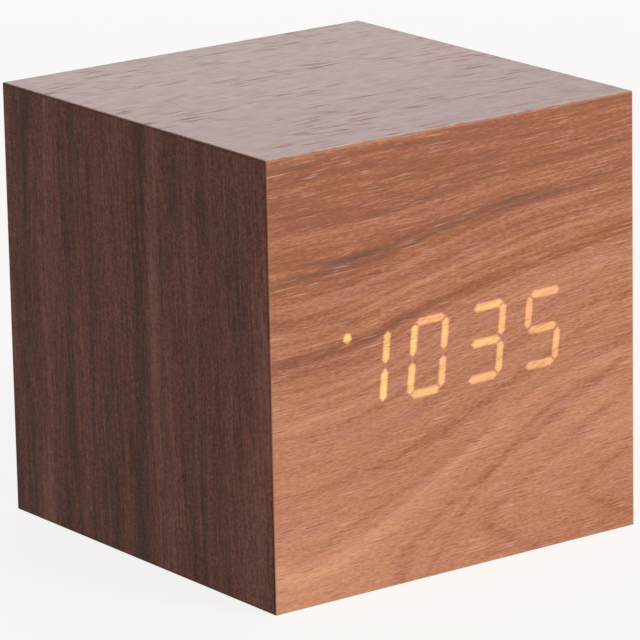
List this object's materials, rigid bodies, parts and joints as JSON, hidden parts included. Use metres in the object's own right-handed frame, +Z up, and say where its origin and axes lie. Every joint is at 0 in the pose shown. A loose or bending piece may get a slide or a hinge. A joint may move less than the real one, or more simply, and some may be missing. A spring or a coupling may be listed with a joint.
{
  "type": "led cube alarm clock",
  "caption": "Cube-shaped alarm clock in walnut veneer, with amber digits shining through the front, push buttons, a hinged battery door and a power inlet at the rear.",
  "frame": {"origin": "middle of the underside, on the surface that the clock stands on", "axes": "+Z up, the display faces -Y, +X to the right as seen from the front"},
  "size_m": [0.08, 0.08, 0.08],
  "materials": {
    "walnut_veneer": "satin lacquered walnut veneer",
    "fibreboard": "raw fibreboard",
    "black_plastic": "fine textured black",
    "grey_plastic": "fine textured dark grey",
    "steel": "plated",
    "diffuser": "frosted film",
    "lit_resin": "lit amber resin",
    "clear_resin": "unlit resin",
    "led_yellow": "plain",
    "circuit_board": "solder mask",
    "white_plastic": "plain",
    "ribbon_grey": "plain",
    "chip_black": "moulded epoxy",
    "capacitor_blue": "plain sleeve",
    "cell_metal": "plain sleeve",
    "red_lead": "plain",
    "black_lead": "plain"
  },
  "bodies": {
    "case": {"front_veneer": "walnut_veneer", "left_veneer": "walnut_veneer", "right_veneer": "walnut_veneer", "top_veneer": "walnut_veneer", "bottom_veneer": "walnut_veneer", "front_board": "fibreboard", "left_board": "fibreboard", "right_board": "fibreboard", "top_board": "fibreboard", "bottom_board": "fibreboard", "rear_edge_bands": "walnut_veneer", "corner_blocks": "fibreboard", "rear_cover": "black_plastic", "rear_cover_screws": "steel", "diffuser_film": "diffuser", "display_housing": "grey_plastic", "lit_segments": "lit_resin", "unlit_segments": "clear_resin", "led_chips": "led_yellow", "display_pcb": "circuit_board", "display_spacers": "white_plastic", "display_screws": "steel", "display_connector": "white_plastic", "ribbon_cable": "ribbon_grey", "main_pcb": "circuit_board", "main_pcb_screws": "steel", "main_connector": "white_plastic", "controller_chip": "chip_black", "crystal": "steel", "capacitor": "capacitor_blue", "buzzer": "black_plastic", "microphone": "steel", "usb_shell": "steel", "usb_insert": "black_plastic", "switch_bodies": "grey_plastic", "battery_tray": "black_plastic", "tray_screws": "steel", "battery_cells": "cell_metal", "battery_contacts": "steel", "battery_springs": "steel", "positive_lead": "red_lead", "negative_lead": "black_lead"},
    "door": {"battery_door": "black_plastic"},
    "set_key": {"set_button": "grey_plastic", "set_plunger": "white_plastic"},
    "down_key": {"down_button": "grey_plastic", "down_plunger": "white_plastic"},
    "up_key": {"up_button": "grey_plastic", "up_plunger": "white_plastic"}
  },
  "joints": [
    {"name": "door_hinge", "type": "hinge", "parent": "case", "child": "door", "pos_m": [0, 0.0373, 0.0151], "axis": [-1, 0, 0], "range_deg": [0, 90]},
    {"name": "set_press", "type": "slide", "parent": "case", "child": "set_key", "axis": [0, -1, 0], "range_m": [0, 0.0005], "stiffness_N_per_m": 600, "springref_m": -0.0008},
    {"name": "down_press", "type": "slide", "parent": "case", "child": "down_key", "axis": [0, -1, 0], "range_m": [0, 0.0005], "stiffness_N_per_m": 600, "springref_m": -0.0008},
    {"name": "up_press", "type": "slide", "parent": "case", "child": "up_key", "axis": [0, -1, 0], "range_m": [0, 0.0005], "stiffness_N_per_m": 600, "springref_m": -0.0008}
  ]
}
